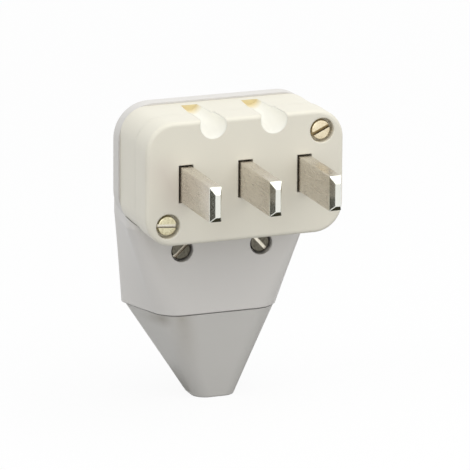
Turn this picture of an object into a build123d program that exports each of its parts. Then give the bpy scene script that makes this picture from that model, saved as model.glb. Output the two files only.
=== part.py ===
from build123d import *
import os

# Rewirable flat-blade plug. X is right, Z is up and Y runs into the plug, away from the socket.
# The origin is the centre of the contact face. All sizes are in millimetres.

# Head: ivory front moulding and the grey cover plate behind it
head_w = 60.0
head_h = 36.2
head_r = 8.5
face_round = 1.2
flange_d = 9.2
skirt_inset = 0.5
base_d = 23.2
base_wall = 2.4
front_wall = 5.0
plate_d = 5.4
plate_r = 10.5
cover_wall = 2.2
plate_round = 1.2

# Blades and the terminal block behind each of them
pin_pitch = 18.0
blade_t = 3.6
blade_h = 10.2
blade_out = 25.7
tip_len = 2.1
tip_x = 1.1
tip_z = 1.8
slot_gap = 0.4
block_w = 9.0
block_h = 12.0
block_len = 11.2
pocket_gap = 0.2
wire_x = 5.4
wire_y = 6.0
wire_from = 2.2

# Terminal screw, pressure plate and the retaining plate
clamp_gap = 0.1
clamp_t = 1.2
clamp_h = 11.0
term_r = 2.0
term_len = 6.0
term_head_r = 3.5
term_head_h = 2.6
retainer_t = 2.0
retainer_side = 2.5
retainer_rise = 0.3
retainer_gap = 0.4
nest_side = 2.1
nest_rise = 2.5
small_r = 1.25
small_len = 8.0
small_head_r = 2.3
small_head_h = 1.6

# Key grooves in the top edge
groove_x = 9.2
groove_shift = -0.6
groove_r = 3.95
groove_drop = 1.6
groove_len = 20.0
groove_end_r = 2.65
groove_end_rise = 0.65
groove_back = 2.3

# Face screws and their inserts
face_edge_x = 6.7
face_edge_z = 6.0
bolt_r = 1.5
bolt_gap = 0.2
face_head_r = 2.8
face_head_h = 2.2
face_sink = 0.8
face_bore_r = 3.6
face_mouth = 0.2
face_len = 22.0
post_r = 4.0
cover_post_r = 3.6
insert_r = 2.3
insert_len = 4.0

# Lower body
low_lap = 4.6
low_depth = 25.2
low_inset = 1.4
low_taper = 3.8
seam_z = 44.6
seam_inset = 11.7
seam_flare = 0.8
front_corner = 3.5
seam_corner = 8.0
rear_corner = 5.5
ramp_drop = 5.6
ramp_foot = -12.0
ramp_round = 1.5
shoulder_rise = 8.0
shoulder_gap = 0.15

# Cord grip behind the lower front wall
grip_x = 12.15
grip_z = 25.1
grip_head_r = 2.9
grip_head_h = 2.2
grip_sink = 0.8
grip_bore_r = 3.4
grip_post_r = 5.0
grip_seat_t = 2.9
grip_len = 16.0
saddle_w = 35.0
saddle_h = 8.0
saddle_t = 5.0
saddle_from = 12.4
saddle_arch = 5.4
nut_w = 5.5
nut_t = 2.4
nut_gap = 0.1
rib_t = 1.2
rib_out = 1.0

# Cable sleeve
tip_level = 71.2
tip_half = 6.45
tip_corner = 4.2
tip_back = 9.8
cable_r = 4.8
bore_len = 6.0
seam_step = 0.3
seam_gap = 0.3
side_step = 0.9
rear_step = 0.6
sleeve_wall = 2.0
neck_h = 4.5
neck_gap = 0.15

# Slots in the screw heads
slot_w = 1.0
slot_d = 0.9

# Values that follow from the sizes above
plate_y = base_d + plate_d
low_front = base_d - low_lap
low_rear = low_front + low_depth
low_front_w = head_w / 2 - low_inset
low_rear_w = low_front_w - low_taper
seam_front_w = low_front_w - seam_inset
seam_rear_w = low_rear_w + seam_flare
ramp_top = head_h / 2 - ramp_drop
tip_y = low_front + tip_back
seat_y = front_wall + block_len
skirt_low = head_h / 2 - skirt_inset
inner_w = head_w - 2 * skirt_inset - 2 * base_wall
inner_h = head_h - 2 * skirt_inset - 2 * base_wall
face_x = head_w / 2 - face_edge_x
face_z = head_h / 2 - face_edge_z
face_seat = face_sink + face_head_h
grip_seat = low_front + grip_sink + grip_head_h
saddle_y = low_front + saddle_from
wire_y0 = front_wall + wire_from
wire_y1 = wire_y0 + wire_y
pin_places = {"left": -pin_pitch, "middle": 0.0, "right": pin_pitch}
face_places = {"lower": (-face_x, -face_z), "upper": (face_x, face_z)}
groove_places = (groove_shift - groove_x, groove_shift + groove_x)
grip_places = {"left": -grip_x, "right": grip_x}
nest_w = inner_w - 2 * nest_side
nest_h = block_h + 2 * nest_rise
retainer_w = inner_w - 2 * retainer_side
retainer_h = 2 * (face_z - post_r - retainer_rise)


def at_depth(y):
    # A sketch plane parallel to the contact face; negative extrusions go deeper into the plug
    return Plane(origin=(0, y, 0), x_dir=(1, 0, 0), z_dir=(0, -1, 0))


def ring_points(front_half, rear_half, front_y, rear_y):
    return [(-front_half, front_y), (front_half, front_y), (rear_half, rear_y), (-rear_half, rear_y)]


def section(front_half, rear_half, front_y, rear_y, front_r, rear_r):
    # Four-sided section of the lower body with rounded corners, drawn in the open sketch
    Polygon(*ring_points(front_half, rear_half, front_y, rear_y), align=None)
    corners = vertices().sort_by(Axis.Y)
    fillet(corners[:2], front_r)
    corners = vertices().sort_by(Axis.Y)
    fillet(corners[-2:], rear_r)


def between(top_value, seam_value, z):
    # Value at depth z below the origin on the straight run from the body's top to its seam
    return top_value + (seam_value - top_value) * (z - skirt_low) / (seam_z - skirt_low)


def side_at(y):
    # Half width of the column behind the head, at depth y
    return low_front_w + (low_rear_w - low_front_w) * (y - low_front) / (low_rear - low_front)


os.makedirs("parts", exist_ok=True)

# Front moulding
with BuildPart() as pin_base:
    with BuildSketch(at_depth(0)):
        RectangleRounded(head_w, head_h, head_r)
    extrude(amount=-flange_d)
    fillet(pin_base.faces().sort_by(Axis.Y)[0].edges(), face_round)
    with BuildSketch(at_depth(flange_d)):
        RectangleRounded(head_w - 2 * skirt_inset, head_h - 2 * skirt_inset, head_r - skirt_inset)
    extrude(amount=-(base_d - flange_d))
    with BuildSketch(at_depth(front_wall)):
        RectangleRounded(inner_w, inner_h, head_r - skirt_inset - base_wall)
    extrude(amount=-(base_d - front_wall), mode=Mode.SUBTRACT)
    # Nest for the three terminal blocks, floor under the grooves and screw posts
    with BuildSketch(at_depth(front_wall)):
        Rectangle(nest_w, nest_h)
    extrude(amount=-block_len)
    back_h = groove_r + groove_drop + groove_back - base_wall
    with BuildSketch(at_depth(front_wall)):
        with Locations(*[(gx, inner_h / 2 - back_h / 2 + 0.5) for gx in groove_places]):
            Rectangle(2 * groove_r + 2 * groove_back, back_h + 1)
    extrude(amount=-(base_d - front_wall))
    for fx, fz in face_places.values():
        with BuildSketch(at_depth(front_wall)):
            with Locations((fx, fz)):
                Circle(post_r)
        extrude(amount=-(base_d - front_wall))
    # Blade slots, block pockets and conductor notches
    for px in pin_places.values():
        with BuildSketch(at_depth(0)):
            with Locations((px, 0)):
                Rectangle(blade_t + 2 * slot_gap, blade_h + 2 * slot_gap)
        extrude(amount=-front_wall, mode=Mode.SUBTRACT)
        with BuildSketch(at_depth(front_wall)):
            with Locations((px, 0)):
                Rectangle(block_w + 2 * pocket_gap, block_h + 2 * pocket_gap)
        extrude(amount=-block_len, mode=Mode.SUBTRACT)
        with BuildSketch(at_depth(wire_y0)):
            with Locations((px, -nest_h / 2)):
                Rectangle(wire_x, nest_h - block_h)
        extrude(amount=-(seat_y - wire_y0), mode=Mode.SUBTRACT)
    # Counterbores and clearance holes of the face screws
    for fx, fz in face_places.values():
        with BuildSketch(at_depth(0)):
            with Locations((fx, fz)):
                Circle(face_bore_r)
        extrude(amount=-face_seat, mode=Mode.SUBTRACT)
        with BuildSketch(at_depth(0)):
            with Locations((fx, fz)):
                Circle(bolt_r + bolt_gap)
        extrude(amount=-base_d, mode=Mode.SUBTRACT)
        with BuildSketch(at_depth(0)):
            with Locations((fx, fz)):
                Circle(face_bore_r + face_mouth)
        extrude(amount=-face_mouth, taper=45, mode=Mode.SUBTRACT)
    # Blind holes of the retainer screws
    with BuildSketch(at_depth(seat_y)):
        with Locations((-pin_pitch / 2, 0), (pin_pitch / 2, 0)):
            Circle(small_r)
    extrude(amount=small_len - retainer_t + 0.3, mode=Mode.SUBTRACT)
    # Key grooves that narrow toward the rear
    for gx in groove_places:
        with BuildSketch(at_depth(-1)):
            with Locations((gx, head_h / 2 - groove_drop - (groove_drop + groove_end_rise) / groove_len)):
                Circle(groove_r + (groove_r - groove_end_r) / groove_len)
        with BuildSketch(at_depth(groove_len)):
            with Locations((gx, head_h / 2 + groove_end_rise)):
                Circle(groove_end_r)
        loft(mode=Mode.SUBTRACT)
pin_base.part.label = "pin_base"
export_step(pin_base.part, "parts/pin_base.step")

# Blades, each in one piece with its terminal block
for side, px in pin_places.items():
    with BuildPart() as pin:
        with BuildSketch(at_depth(front_wall)):
            with Locations((px, 0)):
                Rectangle(blade_t, blade_h)
        extrude(amount=front_wall + blade_out - tip_len)
        with BuildSketch(at_depth(tip_len - blade_out)):
            with Locations((px, 0)):
                Rectangle(blade_t, blade_h)
        with BuildSketch(at_depth(-blade_out)):
            with Locations((px, 0)):
                Rectangle(blade_t - 2 * tip_x, blade_h - 2 * tip_z)
        loft()
        with BuildSketch(at_depth(front_wall)):
            with Locations((px, 0)):
                Rectangle(block_w, block_h)
        extrude(amount=-block_len)
        with BuildSketch(at_depth(wire_y0)):
            with Locations((px, 0)):
                Rectangle(wire_x, block_h)
        extrude(amount=-wire_y, mode=Mode.SUBTRACT)
        with BuildSketch(at_depth(wire_y1)):
            with Locations((px, 0)):
                Circle(term_r)
        extrude(amount=-(seat_y - wire_y1), mode=Mode.SUBTRACT)
    pin.part.label = "pin_" + side
    export_step(pin.part, "parts/pin_" + side + ".step")

# Pressure plates, drawn back against the rear wall of each conductor passage
for side, px in pin_places.items():
    with BuildPart() as clamp_plate:
        with BuildSketch(at_depth(wire_y1 - clamp_t)):
            with Locations((px, 0)):
                RectangleRounded(wire_x - 2 * clamp_gap, clamp_h, 0.6)
        extrude(amount=-clamp_t)
    clamp_plate.part.label = "clamp_plate_" + side
    export_step(clamp_plate.part, "parts/clamp_plate_" + side + ".step")

# Terminal screws, turned in from the rear
for side, px in pin_places.items():
    with BuildPart() as terminal_screw:
        with BuildSketch(at_depth(wire_y1)):
            with Locations((px, 0)):
                Circle(term_r)
        extrude(amount=-term_len)
        with BuildSketch(at_depth(wire_y1 + term_len)):
            with Locations((px, 0)):
                Circle(term_head_r)
        extrude(amount=-term_head_h)
        with BuildSketch(at_depth(wire_y1 + term_len + term_head_h)):
            with Locations((px, 0)):
                Rectangle(2 * term_head_r + 1, slot_w, rotation=20 + px)
        extrude(amount=slot_d, mode=Mode.SUBTRACT)
    terminal_screw.part.label = "terminal_screw_" + side
    export_step(terminal_screw.part, "parts/terminal_screw_" + side + ".step")

# Insulating plate that keeps the blocks forward
with BuildPart() as pin_retainer:
    with BuildSketch(at_depth(seat_y)):
        RectangleRounded(retainer_w, retainer_h, 2)
        with Locations(*[(px, 0) for px in pin_places.values()]):
            Circle(term_head_r + retainer_gap, mode=Mode.SUBTRACT)
        with Locations((-pin_pitch / 2, 0), (pin_pitch / 2, 0)):
            Circle(small_r + bolt_gap, mode=Mode.SUBTRACT)
    extrude(amount=-retainer_t)
pin_retainer.part.label = "pin_retainer"
export_step(pin_retainer.part, "parts/pin_retainer.step")

for side, sx in (("left", -pin_pitch / 2), ("right", pin_pitch / 2)):
    with BuildPart() as retainer_screw:
        with BuildSketch(at_depth(seat_y + retainer_t - small_len)):
            with Locations((sx, 0)):
                Circle(small_r)
        extrude(amount=-small_len)
        with BuildSketch(at_depth(seat_y + retainer_t)):
            with Locations((sx, 0)):
                Circle(small_head_r)
        extrude(amount=-small_head_h)
        with BuildSketch(at_depth(seat_y + retainer_t + small_head_h)):
            with Locations((sx, 0)):
                Rectangle(2 * small_head_r + 1, slot_w, rotation=3 * sx)
        extrude(amount=slot_d, mode=Mode.SUBTRACT)
    retainer_screw.part.label = "retainer_screw_" + side
    export_step(retainer_screw.part, "parts/retainer_screw_" + side + ".step")

# Face screws and the threaded inserts that take them
face_slots = {"lower": -4.0, "upper": 25.0}
for name, (fx, fz) in face_places.items():
    with BuildPart() as face_screw:
        with BuildSketch(at_depth(face_sink)):
            with Locations((fx, fz)):
                Circle(face_head_r)
        extrude(amount=-face_head_h)
        with BuildSketch(at_depth(face_seat)):
            with Locations((fx, fz)):
                Circle(bolt_r)
        extrude(amount=-face_len)
        with BuildSketch(at_depth(face_sink)):
            with Locations((fx, fz)):
                Rectangle(2 * face_head_r + 1, slot_w, rotation=face_slots[name])
        extrude(amount=-slot_d, mode=Mode.SUBTRACT)
    face_screw.part.label = "face_screw_" + name
    export_step(face_screw.part, "parts/face_screw_" + name + ".step")
    with BuildPart() as insert:
        with BuildSketch(at_depth(base_d)):
            with Locations((fx, fz)):
                Circle(insert_r)
                Circle(bolt_r, mode=Mode.SUBTRACT)
        extrude(amount=-insert_len)
    insert.part.label = "insert_" + name
    export_step(insert.part, "parts/insert_" + name + ".step")

# Hollow of the column behind the head, cut from the cover below
top_z = ramp_top - cover_wall
inner_rear = low_rear - cover_wall
ramp_dy = low_rear - plate_y
ramp_dz = ramp_top - ramp_foot
ramp_back = cover_wall * (ramp_dy ** 2 + ramp_dz ** 2) ** 0.5 / ramp_dz
with BuildPart() as hollow:
    with BuildSketch(Plane.XY.offset(-inner_h / 2)):
        Polygon(*ring_points(side_at(base_d) - cover_wall, side_at(inner_rear) - cover_wall, base_d, inner_rear),
                align=None)
    extrude(amount=top_z + inner_h / 2)
    with BuildSketch(Plane.XY.offset(-skirt_low - cover_wall)):
        Polygon(*ring_points(side_at(base_d + cover_wall) - cover_wall, side_at(inner_rear) - cover_wall,
                             base_d + cover_wall, inner_rear), align=None)
    extrude(amount=top_z)
    fillet(hollow.edges().filter_by(Axis.Z).group_by(Axis.Y)[-1], rear_corner - cover_wall)
    with BuildSketch(Plane.YZ.offset(-low_front_w)):
        with BuildLine():
            Polyline(
                (plate_y - ramp_back, ramp_top), (low_rear - ramp_back, ramp_foot),
                (low_rear - ramp_back + ramp_dy, ramp_foot - ramp_dz), (low_rear + 2 * ramp_dy, ramp_foot - ramp_dz),
                (low_rear + 2 * ramp_dy, ramp_top), close=True,
            )
        make_face()
    extrude(amount=2 * low_front_w, mode=Mode.SUBTRACT)

# Grey cover: plate behind the head, column with a sloping back, and the lower body
with BuildPart() as rear_cover:
    with BuildSketch(at_depth(base_d)):
        RectangleRounded(head_w, head_h, plate_r)
    extrude(amount=-plate_d)
    fillet(rear_cover.faces().sort_by(Axis.Y)[-1].edges(), plate_round)
    with BuildSketch(Plane.XY.offset(-skirt_low)):
        Polygon(*ring_points(side_at(base_d), low_rear_w, base_d, low_rear), align=None)
        fillet(vertices().sort_by(Axis.Y)[-2:], rear_corner)
    extrude(amount=skirt_low + ramp_top)
    with BuildSketch(Plane.XY.offset(-skirt_low)):
        section(low_front_w, low_rear_w, low_front, low_rear, front_corner, rear_corner)
    with BuildSketch(Plane.XY.offset(-seam_z)):
        section(seam_front_w, seam_rear_w, low_front, low_rear, seam_corner, rear_corner)
    loft(ruled=True)
    # Shoulders that rise behind the rounded lower corners of the head
    with BuildSketch(Plane.XY.offset(-skirt_low)):
        section(low_front_w, low_rear_w, low_front, low_rear, front_corner, rear_corner)
    extrude(amount=shoulder_rise)
    with BuildSketch(at_depth(0)):
        RectangleRounded(head_w - 2 * skirt_inset + 2 * shoulder_gap, 2 * skirt_low, head_r - skirt_inset)
    extrude(amount=-base_d, mode=Mode.SUBTRACT)
    # Sloping back
    with BuildSketch(Plane.YZ.offset(-low_front_w)):
        with BuildLine():
            Polyline((plate_y, ramp_top), (low_rear, ramp_foot), (low_rear + 1, ramp_foot),
                     (low_rear + 1, ramp_top + 1), (plate_y, ramp_top + 1), close=True)
        make_face()
    extrude(amount=2 * low_front_w, mode=Mode.SUBTRACT)
    slope = rear_cover.faces().filter_by(lambda f: f.normal_at().Y > 0.3 and f.normal_at().Z > 0.3).sort_by(SortBy.AREA)[-1]
    fillet(slope.edges().filter_by(lambda e: e.center().Y > plate_y + 0.5), ramp_round)
    # Chamber behind the head
    with BuildSketch(at_depth(base_d)):
        RectangleRounded(head_w - 2 * cover_wall, head_h - 2 * cover_wall, plate_r - cover_wall)
    extrude(amount=-(plate_d - cover_wall), mode=Mode.SUBTRACT)
    add(hollow.part, mode=Mode.SUBTRACT)
    # Chamber of the lower body, open at the seam
    for z in (skirt_low + cover_wall, seam_z):
        with BuildSketch(Plane.XY.offset(-z)):
            section(between(low_front_w, seam_front_w, z) - cover_wall,
                    between(low_rear_w, seam_rear_w, z) - cover_wall, low_front + cover_wall,
                    low_rear - cover_wall, between(front_corner, seam_corner, z) - cover_wall,
                    rear_corner - cover_wall)
    loft(ruled=True, mode=Mode.SUBTRACT)
    # Posts with the insert bores
    for fx, fz in face_places.values():
        with BuildSketch(at_depth(base_d)):
            with Locations((fx, fz)):
                Circle(cover_post_r)
        extrude(amount=-plate_d)
        with BuildSketch(at_depth(base_d)):
            with Locations((fx, fz)):
                Circle(insert_r)
        extrude(amount=-insert_len, mode=Mode.SUBTRACT)
    # Posts, recesses and holes of the grip screws, and two grip ribs
    for gx in grip_places.values():
        with BuildSketch(at_depth(low_front + cover_wall)):
            with Locations((gx, -grip_z)):
                Circle(grip_post_r)
        extrude(amount=-(grip_seat + grip_seat_t - low_front - cover_wall))
    for rz in (-grip_z - 2.4, -grip_z + 2.4):
        with BuildSketch(at_depth(low_front + cover_wall)):
            with Locations((0, rz)):
                Rectangle(12, rib_t)
        extrude(amount=-rib_out)
    for gx in grip_places.values():
        with BuildSketch(at_depth(low_front)):
            with Locations((gx, -grip_z)):
                Circle(grip_bore_r)
        extrude(amount=-(grip_seat - low_front), mode=Mode.SUBTRACT)
        with BuildSketch(at_depth(grip_seat)):
            with Locations((gx, -grip_z)):
                Circle(bolt_r + bolt_gap)
        extrude(amount=-grip_seat_t, mode=Mode.SUBTRACT)
rear_cover.part.label = "rear_cover"
export_step(rear_cover.part, "parts/rear_cover.step")

# Cord saddle behind the cable, with its nuts and screws
saddle_rear = saddle_y + saddle_t
with BuildPart() as cord_saddle:
    with BuildSketch(at_depth(saddle_y)):
        with Locations((0, -grip_z)):
            RectangleRounded(saddle_w, saddle_h, 1.5)
    extrude(amount=-saddle_t)
    with BuildSketch(Plane.XY.offset(-grip_z - saddle_h / 2 - 1)):
        with Locations((0, saddle_y - saddle_arch + 1.6)):
            Circle(saddle_arch)
    extrude(amount=saddle_h + 2, mode=Mode.SUBTRACT)
    for gx in grip_places.values():
        with BuildSketch(at_depth(saddle_y)):
            with Locations((gx, -grip_z)):
                Circle(bolt_r + bolt_gap)
        extrude(amount=-saddle_t, mode=Mode.SUBTRACT)
        with BuildSketch(at_depth(saddle_rear)):
            with Locations((gx, -grip_z)):
                Rectangle(nut_w + 2 * nut_gap, nut_w + 2 * nut_gap)
        extrude(amount=nut_t, mode=Mode.SUBTRACT)
cord_saddle.part.label = "cord_saddle"
export_step(cord_saddle.part, "parts/cord_saddle.step")

grip_slots = {"left": 42.0, "right": -48.0}
for side, gx in grip_places.items():
    with BuildPart() as grip_nut:
        with BuildSketch(at_depth(saddle_rear - nut_t)):
            with Locations((gx, -grip_z)):
                Rectangle(nut_w, nut_w)
                Circle(bolt_r, mode=Mode.SUBTRACT)
        extrude(amount=-nut_t)
    grip_nut.part.label = "grip_nut_" + side
    export_step(grip_nut.part, "parts/grip_nut_" + side + ".step")
    with BuildPart() as grip_screw:
        with BuildSketch(at_depth(low_front + grip_sink)):
            with Locations((gx, -grip_z)):
                Circle(grip_head_r)
        extrude(amount=-grip_head_h)
        with BuildSketch(at_depth(grip_seat)):
            with Locations((gx, -grip_z)):
                Circle(bolt_r)
        extrude(amount=-grip_len)
        with BuildSketch(at_depth(low_front + grip_sink)):
            with Locations((gx, -grip_z)):
                Rectangle(2 * grip_head_r + 1, slot_w, rotation=grip_slots[side])
        extrude(amount=-slot_d, mode=Mode.SUBTRACT)
    grip_screw.part.label = "grip_screw_" + side
    export_step(grip_screw.part, "parts/grip_screw_" + side + ".step")

# Cable sleeve: tapering tube below the seam, with a neck that enters the lower body
sleeve_top = seam_z + seam_gap
neck_in = cover_wall + neck_gap
bore_in = neck_in + sleeve_wall
with BuildPart() as cable_sleeve:
    with BuildSketch(Plane.XY.offset(-sleeve_top)):
        section(seam_front_w - seam_step, seam_rear_w - side_step, low_front + seam_step,
                low_rear - rear_step, seam_corner, rear_corner)
    with BuildSketch(Plane.XY.offset(-tip_level)):
        section(tip_half, tip_half, tip_y - tip_half, tip_y + tip_half, tip_corner, tip_corner)
    loft(ruled=True)
    with BuildSketch(Plane.XY.offset(-sleeve_top)):
        section(seam_front_w - neck_in, seam_rear_w - neck_in, low_front + neck_in,
                low_rear - neck_in, seam_corner - neck_in, rear_corner - neck_in)
    extrude(amount=neck_h)
    # Inside: straight through the neck, tapering below it, then the cable bore
    with BuildSketch(Plane.XY.offset(-sleeve_top)):
        section(seam_front_w - bore_in, seam_rear_w - bore_in, low_front + bore_in,
                low_rear - bore_in, seam_corner - bore_in, rear_corner - bore_in)
    extrude(amount=neck_h, mode=Mode.SUBTRACT)
    with BuildSketch(Plane.XY.offset(-sleeve_top)):
        section(seam_front_w - bore_in, seam_rear_w - bore_in, low_front + bore_in,
                low_rear - bore_in, seam_corner - bore_in, rear_corner - bore_in)
    with BuildSketch(Plane.XY.offset(bore_len - tip_level)):
        section(cable_r, cable_r, tip_y - cable_r, tip_y + cable_r, cable_r / 2, cable_r / 2)
    loft(ruled=True, mode=Mode.SUBTRACT)
    with BuildSketch(Plane.XY.offset(-tip_level)):
        with Locations((0, tip_y)):
            Circle(cable_r)
    extrude(amount=bore_len + 2, mode=Mode.SUBTRACT)
cable_sleeve.part.label = "cable_sleeve"
export_step(cable_sleeve.part, "parts/cable_sleeve.step")
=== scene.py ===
import bmesh
import bpy
import math
from mathutils import Matrix, Vector


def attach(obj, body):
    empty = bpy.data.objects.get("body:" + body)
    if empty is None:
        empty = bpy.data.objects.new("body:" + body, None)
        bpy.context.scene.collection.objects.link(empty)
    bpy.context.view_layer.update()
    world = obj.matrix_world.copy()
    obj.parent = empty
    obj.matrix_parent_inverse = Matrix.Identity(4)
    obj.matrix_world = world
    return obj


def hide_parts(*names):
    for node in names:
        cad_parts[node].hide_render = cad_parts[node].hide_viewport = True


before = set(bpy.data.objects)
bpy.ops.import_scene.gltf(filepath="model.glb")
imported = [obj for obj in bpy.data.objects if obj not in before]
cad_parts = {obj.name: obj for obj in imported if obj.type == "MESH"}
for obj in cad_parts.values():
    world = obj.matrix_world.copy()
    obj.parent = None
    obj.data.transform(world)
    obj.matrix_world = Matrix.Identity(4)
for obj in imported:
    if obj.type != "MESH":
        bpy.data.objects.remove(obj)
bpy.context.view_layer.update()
scene = bpy.context.scene
scene.view_settings.view_transform = "Standard"
mm = 0.001
print("packed model loaded:", len(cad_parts), "nodes")


# Node building, used for the room, the finishes and the screws alike
def link(tree, source, target):
    tree.links.new(source, target)


def step(tree, kind, inputs=None, **settings):
    # One node with its settings, and a value or a link for each input that is named or numbered
    node = tree.nodes.new(kind)
    for key, value in settings.items():
        setattr(node, key, value)
    for key, value in (inputs or {}).items():
        socket = node.inputs[key]
        if hasattr(value, "is_linked"):
            link(tree, value, socket)
        elif socket.type == "RGBA":
            socket.default_value = (*value, 1)
        else:
            socket.default_value = value
    return node


def mathOf(tree, kind, first, second=None, third=None, clamp=False):
    inputs = {slot: value for slot, value in enumerate((first, second, third)) if value is not None}
    return step(tree, "ShaderNodeMath", inputs, operation=kind, use_clamp=clamp).outputs[0]


def vectorMathOf(tree, kind, first, second=None, output=0):
    inputs = {slot: value for slot, value in enumerate((first, second)) if value is not None}
    return step(tree, "ShaderNodeVectorMath", inputs, operation=kind).outputs[output]


def mixColour(tree, share, first, second):
    # A Mix node set to colour takes its share at input 0 and its colours at 6 and 7
    return step(tree, "ShaderNodeMix", {0: share, 6: first, 7: second}, data_type="RGBA").outputs[2]


def mixShader(tree, share, first, second):
    return step(tree, "ShaderNodeMixShader", {0: share, 1: first, 2: second}).outputs[0]


def noiseOf(tree, point, scale, detail, rough):
    inputs = {"Vector": point, "Scale": scale, "Detail": detail, "Roughness": rough}
    return step(tree, "ShaderNodeTexNoise", inputs).outputs["Fac"]


def newMaterial(name):
    material = bpy.data.materials.new(name)
    material.use_nodes = True
    tree = material.node_tree
    tree.nodes.clear()
    return material, tree, tree.nodes.new("ShaderNodeOutputMaterial").inputs["Surface"]


# Long lens from the front left, a little above the plug. Angles are in degrees
camera = {
    "place": (-0.55024, -1.42535, 0.40933), "heading": 21.0, "down": 15.58, "roll": -0.34,
    "lens": 426.5, "sensor": 36, "nearest": 0.05, "furthest": 20,
}


def aimCamera(values):
    heading, down, roll = (math.radians(values[key]) for key in ("heading", "down", "roll"))
    forward = Vector((math.sin(heading) * math.cos(down), math.cos(heading) * math.cos(down),
                      -math.sin(down)))
    right = Vector((math.cos(heading), -math.sin(heading), 0))
    below = forward.cross(right)
    rolledRight = right * math.cos(roll) + below * math.sin(roll)
    rolledUp = right * math.sin(roll) - below * math.cos(roll)
    data = bpy.data.cameras.new("studioCamera")
    data.sensor_width = values["sensor"]
    data.lens = values["lens"]
    data.clip_start, data.clip_end = values["nearest"], values["furthest"]
    holder = bpy.data.objects.new("studioCamera", data)
    scene.collection.objects.link(holder)
    turned = Matrix((rolledRight, rolledUp, -forward)).transposed()
    holder.matrix_world = Matrix.Translation(values["place"]) @ turned.to_4x4()
    scene.camera = holder


aimCamera(camera)

# Pale room and floor, soft lamps, and dark cards for the black edges that metal shows
toLeft, toRight, upward = (-1.0, 0.0, 0.0), (1.0, 0.0, 0.0), (0.0, 0.0, 1.0)
studio = {
    "floorLevel": -0.0713, "floorSpan": 6.0, "floorColour": (0.9, 0.9, 0.9), "floorBounce": 0.42,
    "shadowShare": 0.10, "fadeFrom": 0.30, "fadeTo": 0.90,
    "worldLight": 0.69, "worldColour": (0.95, 0.97, 1.0),
    "lamps": {
        "topLamp": {
            "place": (0.30, -0.20, 0.58), "span": 0.86, "watts": 2.66, "colour": (1.0, 0.98, 0.93),
        },
        "frontLamp": {
            "place": (0.36, -0.42, 0.17), "span": 0.60, "watts": 0.16, "colour": (1.0, 0.97, 0.92),
        },
        "fillLamp": {
            "place": (-0.35, -0.90, 0.20), "span": 0.70, "watts": 1.65, "colour": (1.0, 0.98, 0.96),
        },
        "leftLamp": {
            "place": (-0.95, 0.10, 0.30), "span": 0.60, "watts": 0.12, "colour": (1.0, 0.99, 0.97),
        },
        "cornerLamp": {
            "place": (-0.50, -0.08, 0.50), "span": 0.40, "watts": 0.78, "colour": (1.0, 0.98, 0.92),
        },
    },
    "cards": {
        "leftCard": {
            "place": (-0.260, 0.065, -0.035), "width": 0.10, "height": 0.07, "facing": toRight,
        },
        "leftFloorCard": {
            "place": (-0.180, 0.050, -0.0706), "width": 0.16, "height": 0.09, "facing": upward,
        },
        "rightCard": {
            "place": (0.260, 0.065, -0.035), "width": 0.10, "height": 0.07, "facing": toLeft,
        },
        "rightFloorCard": {
            "place": (0.170, 0.050, -0.0706), "width": 0.18, "height": 0.09, "facing": upward,
        },
        "lowCard": {
            "place": (0.030, 0.012, -0.0704), "width": 0.09, "height": 0.06, "facing": upward,
        },
    },
    "cardColour": (0.040, 0.038, 0.024),
    "aim": (0.0, 0.0, 0.0),
}


def seenDirectly(tree):
    # 1 for rays from the camera, through glass and off gloss, so all of them find the white room
    ray = step(tree, "ShaderNodeLightPath").outputs
    mirrored = mathOf(tree, "MAXIMUM", ray["Is Camera Ray"], ray["Is Glossy Ray"])
    return mathOf(tree, "MAXIMUM", mirrored, ray["Is Transmission Ray"])


def buildRoom(values):
    world = bpy.data.worlds.new("paleRoom")
    scene.world = world
    world.use_nodes = True
    tree = world.node_tree
    tree.nodes.clear()
    light = step(tree, "ShaderNodeBackground", {
        "Color": values["worldColour"], "Strength": values["worldLight"]}).outputs[0]
    white = step(tree, "ShaderNodeBackground", {"Color": (1, 1, 1), "Strength": 1.0}).outputs[0]
    mixed = mixShader(tree, seenDirectly(tree), light, white)
    step(tree, "ShaderNodeOutputWorld", {"Surface": mixed})


def newSquare(name, x, y, turn, place):
    corners = [turn @ Vector(corner) + Vector(place)
               for corner in ((-x, -y, 0), (x, -y, 0), (x, y, 0), (-x, y, 0))]
    mesh = bpy.data.meshes.new(name)
    mesh.from_pydata([tuple(corner) for corner in corners], [], [(0, 1, 2, 3)])
    holder = bpy.data.objects.new(name, mesh)
    scene.collection.objects.link(holder)
    return holder


def buildFloor(values):
    # Seen directly it is white, with a faint shadow near the plug. Other rays find it a plain grey
    half = values["floorSpan"] / 2
    floor = newSquare("studioFloor", half, half, Matrix.Identity(3), (0, 0, values["floorLevel"]))
    paint, tree, surface = newMaterial("paleFloor")
    bounce = step(tree, "ShaderNodeBsdfDiffuse", {"Color": (values["floorBounce"],) * 3}).outputs[0]
    pale = step(tree, "ShaderNodeBsdfDiffuse", {"Color": values["floorColour"]}).outputs[0]
    glow = step(tree, "ShaderNodeEmission", {"Color": (1, 1, 1)}).outputs[0]
    point = step(tree, "ShaderNodeTexCoord").outputs["Object"]
    away = vectorMathOf(tree, "LENGTH", point, output="Value")
    fade = step(tree, "ShaderNodeMapRange", {
        "Value": away, "From Min": values["fadeFrom"], "From Max": values["fadeTo"],
        "To Min": 1 - values["shadowShare"], "To Max": 1.0}).outputs["Result"]
    lit = mixShader(tree, fade, pale, glow)
    both = mixShader(tree, seenDirectly(tree), bounce, lit)
    # From below the floor is clear
    clear = step(tree, "ShaderNodeBsdfTransparent").outputs[0]
    below = step(tree, "ShaderNodeNewGeometry").outputs["Backfacing"]
    link(tree, mixShader(tree, below, both, clear), surface)
    floor.data.materials.append(paint)


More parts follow.
